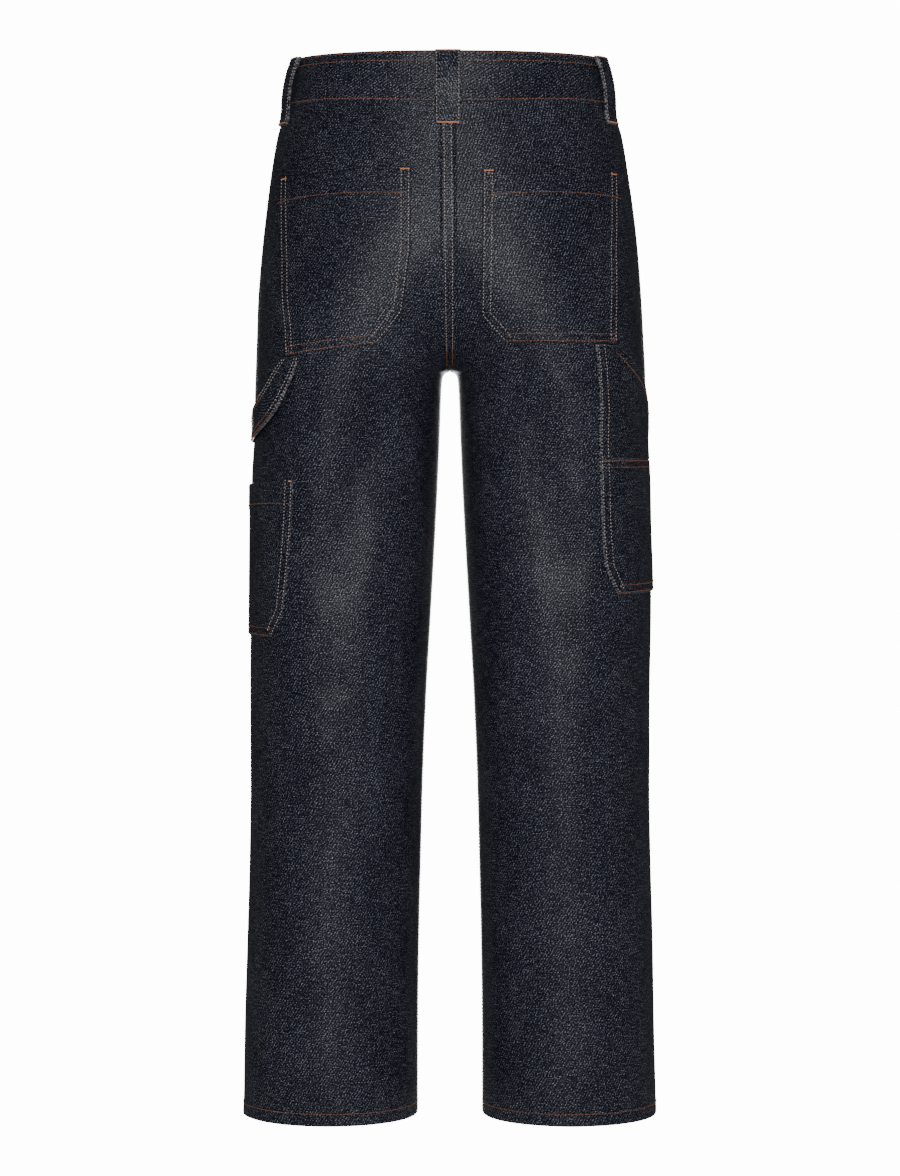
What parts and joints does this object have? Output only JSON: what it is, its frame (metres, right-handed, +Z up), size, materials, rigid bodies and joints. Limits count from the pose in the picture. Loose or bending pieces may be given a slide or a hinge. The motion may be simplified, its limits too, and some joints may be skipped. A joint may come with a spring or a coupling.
{
  "type": "carpenter jeans",
  "caption": "Straight carpenter jeans filled out as if worn, with an open waist and hems, belt loops, back and leg pockets and a hammer loop.",
  "frame": {"origin": "middle of the open waist, inside the waistband's height, where the wearer holds the jeans up", "axes": "+Z up, -Y the front with the fly, +Y the back, +X the wearer's left"},
  "size_m": [0.4036, 0.2412, 1.0249],
  "materials": {
    "raw_denim": "unwashed indigo right-hand twill",
    "trim_denim": "unwashed indigo right-hand twill, copper topstitching",
    "brass": "antique brass"
  },
  "bodies": {
    "root": {"back_panel_left": "raw_denim", "back_panel_right": "raw_denim", "front_panel_left": "raw_denim", "front_panel_right": "raw_denim", "front_pocket_facing_left": "trim_denim", "front_pocket_facing_right": "trim_denim", "back_pocket_left": "trim_denim", "back_pocket_right": "trim_denim", "belt_loop_side_left": "trim_denim", "belt_loop_side_right": "trim_denim", "belt_loop_front_left": "trim_denim", "belt_loop_front_right": "trim_denim", "belt_loop_back": "trim_denim", "waistband": "raw_denim", "fly_shield": "trim_denim", "hammer_loop": "trim_denim", "leg_pocket_left": "trim_denim", "tool_pocket_upper": "trim_denim", "tool_pocket_lower": "trim_denim", "waist_button": "brass"}
  },
  "joints": []
}
